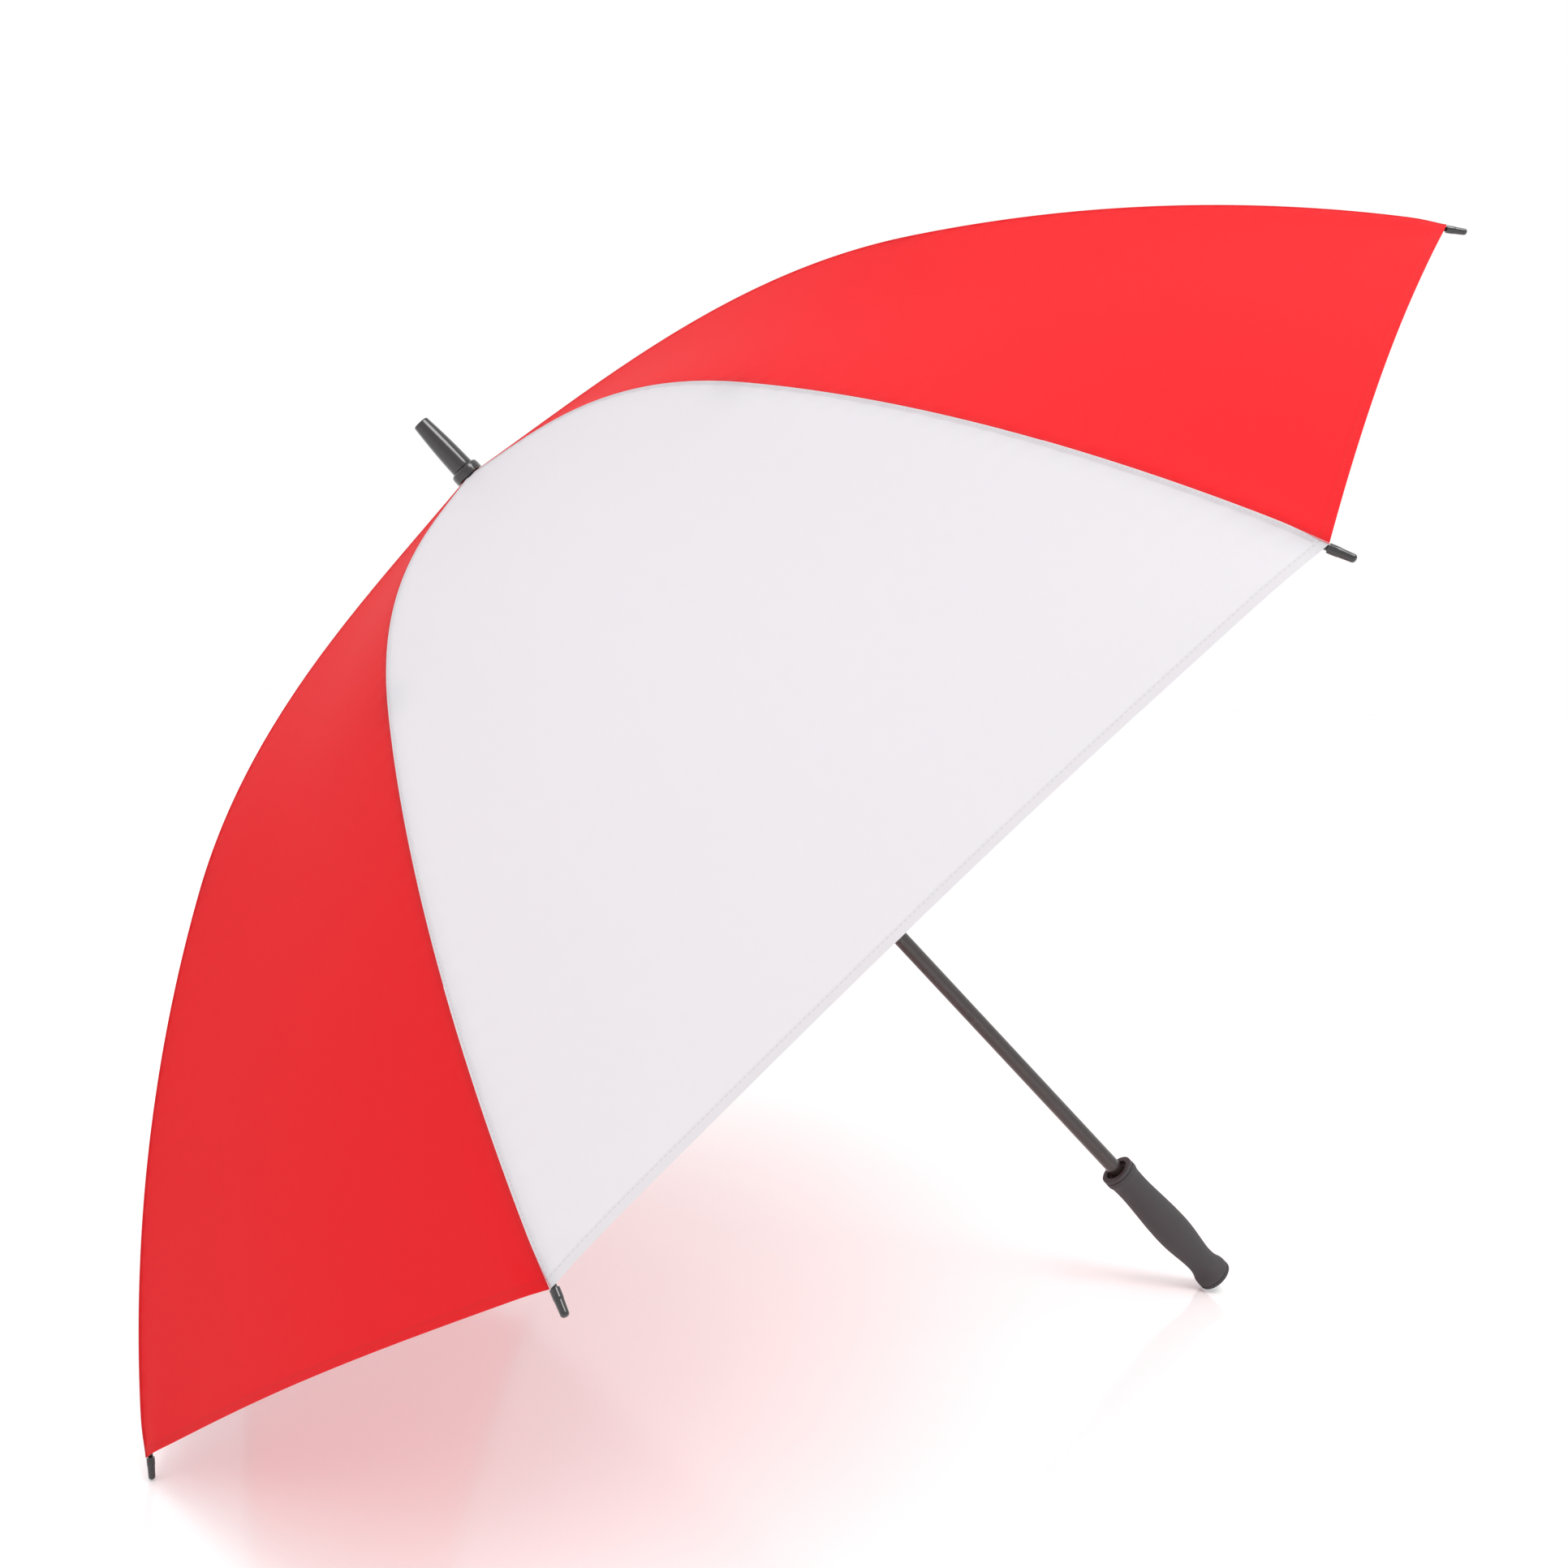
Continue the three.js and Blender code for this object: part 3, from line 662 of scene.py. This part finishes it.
def cloth_point(along, across, panel):
    """The canopy's outer face, local to the panel's middle."""
    curve, u = canopy_at(along * (1 - HEM_BOW * (1 - across * across)))
    base = curve.at(u)
    middle = 1 - across * across
    length = CANOPY_LENGTH * along
    from_seam = (1 - abs(across)) * base[0] * math.sin(PITCH / 2)
    from_hem = CANOPY_LENGTH * (1 - along)
    from_corner = from_hem + from_seam
    phase = PHASE_STEP * panel
    sag = PANEL_SAG * math.sin(math.pi * along) * middle
    # Puckers where the seam's thread draws the cloth in, and slack folds off the corners.
    pucker = (PUCKER_DEPTH * math.sin(length * 2 * math.pi / PUCKER_SPACING + phase)
              * math.exp(-from_seam / PUCKER_REACH))
    fanned = from_seam / (CORNER_WIDTH + CORNER_FAN * from_corner)
    fold = (CORNER_DEPTH * math.sin(fanned * CORNER_WAVES + phase)
            * math.exp(-from_corner / CORNER_REACH))
    slack = (SLACK_DEPTH * middle * math.sin(SLACK_ALONG * along + phase)
             * math.sin(SLACK_ACROSS * across + phase) * along)
    # The cloth is tacked down to the tip cap at each corner.
    tacked = TACK_DEPTH * math.exp(
        -((from_hem / TACK_HEM_REACH) ** 2) - (from_seam / TACK_SEAM_REACH) ** 2)
    rise = (pucker * min(1.0, from_seam / PUCKER_EASE) + fold * min(1.0, from_seam / CORNER_EASE)
            + slack - sag - tacked)
    into_fold = max(HEM_WIDTH - from_hem, SEAM_WIDTH - from_seam, 0.0)
    p = curve.at(u, rise + FOLD * min(1.0, into_fold / FOLD_STEP))
    return np.array([p[0] * math.cos(PITCH / 2), across * base[0] * math.sin(PITCH / 2), p[1]])


def cloth_normal(along, across, panel):
    a0, a1 = max(along - NORMAL_STEP, 0.0), min(along + NORMAL_STEP, 1.0)
    c0, c1 = max(across - NORMAL_STEP, -1.0), min(across + NORMAL_STEP, 1.0)
    d_along = cloth_point(a1, across, panel) - cloth_point(a0, across, panel)
    d_across = cloth_point(along, c1, panel) - cloth_point(along, c0, panel)
    return np.cross(d_along, d_across)


def along_rows(part):
    """Row positions, closer at the hem's edge, where the fold steps up."""
    if part == "inner":
        return list(np.linspace(0.0, 0.5, CLOTH_ROWS + 1))
    rows = list(np.linspace(0.5, 1 - (HEM_WIDTH + 0.001) / CANOPY_LENGTH, CLOTH_ROWS))
    for from_hem in (HEM_WIDTH, HEM_WIDTH - FOLD_STEP, HEM_STITCH, HEM_WIDTH * 0.5,
                     HEM_WIDTH * 0.25, 0.0):
        rows.append(1 - from_hem / CANOPY_LENGTH)
    return rows


def across_columns(along, own_rib):
    """Column positions from the panel's middle to one rib, closer at the seam."""
    half_width = max(LEAST_WIDTH, cloth_width(along))
    beside_seam = SEAM_WIDTH * 1.25
    limit = min(SEAM_SHARE, beside_seam / half_width)
    scale = limit * half_width / beside_seam
    columns = list(np.linspace(0.0, 1 - limit, CLOTH_COLUMNS))
    for from_seam in (SEAM_WIDTH, SEAM_WIDTH - FOLD_STEP, SEAM_STITCH, 0.0):
        columns.append(1 - from_seam * scale / half_width)
    return [c if own_rib else -c for c in columns]


def fold_axis(rib, curve, side):
    """The way from a rib towards a panel's middle, less its share along the rib. side is -1 for
    the panel after the rib and 1 for the one before it."""
    inward = -curve.out * math.sin(PITCH / 2) * curve.out[0]
    local = Vector((inward[0], side * math.cos(PITCH / 2), inward[1]))
    return TO_WORLD.to_3x3() @ (Matrix.Rotation(rib_azimuth(rib), 3, "Z") @ local)


def half_panel(k, part, own_rib):
    """One half of a panel's inner or outer stretch: it rides on the rib that it is sewn to."""
    rib = k if own_rib else k % RIBS + 1
    to_row = TO_WORLD @ Matrix.Rotation(-PITCH * k, 4, "Z")
    rows = along_rows(part)
    vertices, uvs, normals = [], [], []
    marks = {"doubled": [], "hem_stitch": [], "seam_stitch": []}
    for along in rows:
        columns = across_columns(along, own_rib)
        width = cloth_width(along)
        from_hem = (1 - along) * CANOPY_LENGTH
        for across in columns:
            from_seam = (1 - abs(across)) * width
            vertices.append(to_row @ Vector(cloth_point(along, across, k)))
            uvs.append((across * width, along * CANOPY_LENGTH))
            normal = to_row.to_3x3() @ Vector(cloth_normal(along, across, k))
            normals.append(normal.normalized())
            marks["doubled"].append(float(from_seam < SEAM_WIDTH or from_hem < HEM_WIDTH))
            marks["hem_stitch"].append(float(abs(from_hem - HEM_STITCH) < STITCH_REACH))
            marks["seam_stitch"].append(float(abs(from_seam - SEAM_STITCH) < STITCH_REACH))
    count = len(columns)
    faces = []
    for i in range(len(rows) - 1):
        for a in range(i * count, (i + 1) * count - 1):
            quad = [a, a + count, a + count + 1, a + 1]
            faces.append(quad if own_rib else quad[::-1])
    colour, slot = (RED, "red_fabric") if is_red(k) else (WHITE, "white_fabric")
    obj = piece(f"cloth_{k}_{part}_{'own' if own_rib else 'next'}", vertices, faces, colour)
    mesh = obj.data
    layer = mesh.uv_layers.new(name="cloth")
    for loop in mesh.loops:
        layer.data[loop.index].uv = uvs[loop.vertex_index]
    for name, values in marks.items():
        mesh.attributes.new(name, "FLOAT", "POINT").data.foreach_set("value", values)
    mesh.normals_split_custom_set_from_vertices(normals)

    curve, start = (CANOPY_INNER, 0.0) if part == "inner" else (CANOPY_OUTER, 0.5)
    middle = curve.start + curve.chord / 2 + curve.out * curve.sagitta * 2 / 3
    widths = [cloth_width(start + 0.5 * i / (WIDTH_SAMPLES - 1)) for i in range(WIDTH_SAMPLES)]
    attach(obj, f"rib_{rib}_{part}")
    fold_axis(rib, curve, -1 if own_rib else 1)
    rib_plane(rib_azimuth(rib), middle[0], 0, middle[1])
    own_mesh(obj)
    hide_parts(f"panel_{k}")


for k in range(1, RIBS + 1):
    tip_cap(k)
    for part in ("inner", "outer"):
        for own_rib in (True, False):
            half_panel(k, part, own_rib)


# ---- Stage ----
FLOOR_HALF = 14.0
FLOOR_DROP = 0.0004  # keeps the floor clear of the faces that rest on it


def floor_material():
    """A pale, slightly glossy floor with a low glow that keeps it white."""
    material, tree, shader, _ = new_material("pale_floor")
    cloudy = noise(tree, object_place(tree), scale=3.0)
    set_inputs(tree, shader, {
        "Base Color": (0.97, 0.97, 0.97, 1),
        "Roughness": maths(tree, "ADD", maths(tree, "MULTIPLY", cloudy, 0.04), 0.08),
        "Specular IOR Level": 0.5,
        "Emission Color": (1.0, 1.0, 1.0, 1),
        "Emission Strength": 0.10,
    })
    return material


def floor():
    corners = [(x * FLOOR_HALF, y * FLOOR_HALF, 0) for x, y in ((-1, -1), (1, -1), (1, 1), (-1, 1))]
    obj = piece("floor", corners, [[0, 1, 2, 3]], floor_material())
    obj.location.z = -FLOOR_DROP


def light(name, place, target, size, power):
    data = bpy.data.lights.new(name, "AREA")
    data.shape = "RECTANGLE"
    data.size, data.size_y = size
    data.energy = power
    obj = bpy.data.objects.new(name, data)
    obj.location = place
    aim = Vector(target) - Vector(place)
    obj.rotation_euler = aim.to_track_quat("-Z", "Y").to_euler()
    bpy.context.scene.collection.objects.link(obj)


floor()
studio = bpy.data.worlds.new("studio")
bpy.context.scene.world = studio
studio.use_nodes = True
background = studio.node_tree.nodes["Background"]
background.inputs["Color"].default_value = (1.0, 1.0, 1.0, 1)
background.inputs["Strength"].default_value = 1.0
bpy.context.scene.view_settings.view_transform = "Standard"
light("key", (1.0, -1.7, 3.3), (0.1, 0, 0.5), (1.6, 1.6), 56)
light("fill", (-3.0, -1.5, 1.8), (0, 0, 0.4), (1.4, 2.0), 10)

# ---- Camera ----
CAMERA_PLACE = Vector((-0.1982, -1.3522, 0.5619))
CAMERA_YAW = math.radians(9.016)  # to the right of +Y
CAMERA_PITCH = math.radians(4.894)  # downward
CAMERA_ROLL = math.radians(-1.678)
forward = Vector((math.sin(CAMERA_YAW) * math.cos(CAMERA_PITCH),
                  math.cos(CAMERA_YAW) * math.cos(CAMERA_PITCH),
                  -math.sin(CAMERA_PITCH)))
right = Vector((math.cos(CAMERA_YAW), -math.sin(CAMERA_YAW), 0))
down = forward.cross(right)
right, down = (right * math.cos(CAMERA_ROLL) + down * math.sin(CAMERA_ROLL),
               down * math.cos(CAMERA_ROLL) - right * math.sin(CAMERA_ROLL))
camera_data = bpy.data.cameras.new("camera")
camera_data.lens = 38.0
camera_data.sensor_width = 36.0
camera = bpy.data.objects.new("camera", camera_data)
camera.matrix_world = Matrix((right, -down, -forward)).transposed().to_4x4()
camera.location = CAMERA_PLACE
bpy.context.scene.collection.objects.link(camera)
bpy.context.scene.camera = camera

bpy.context.view_layer.update()
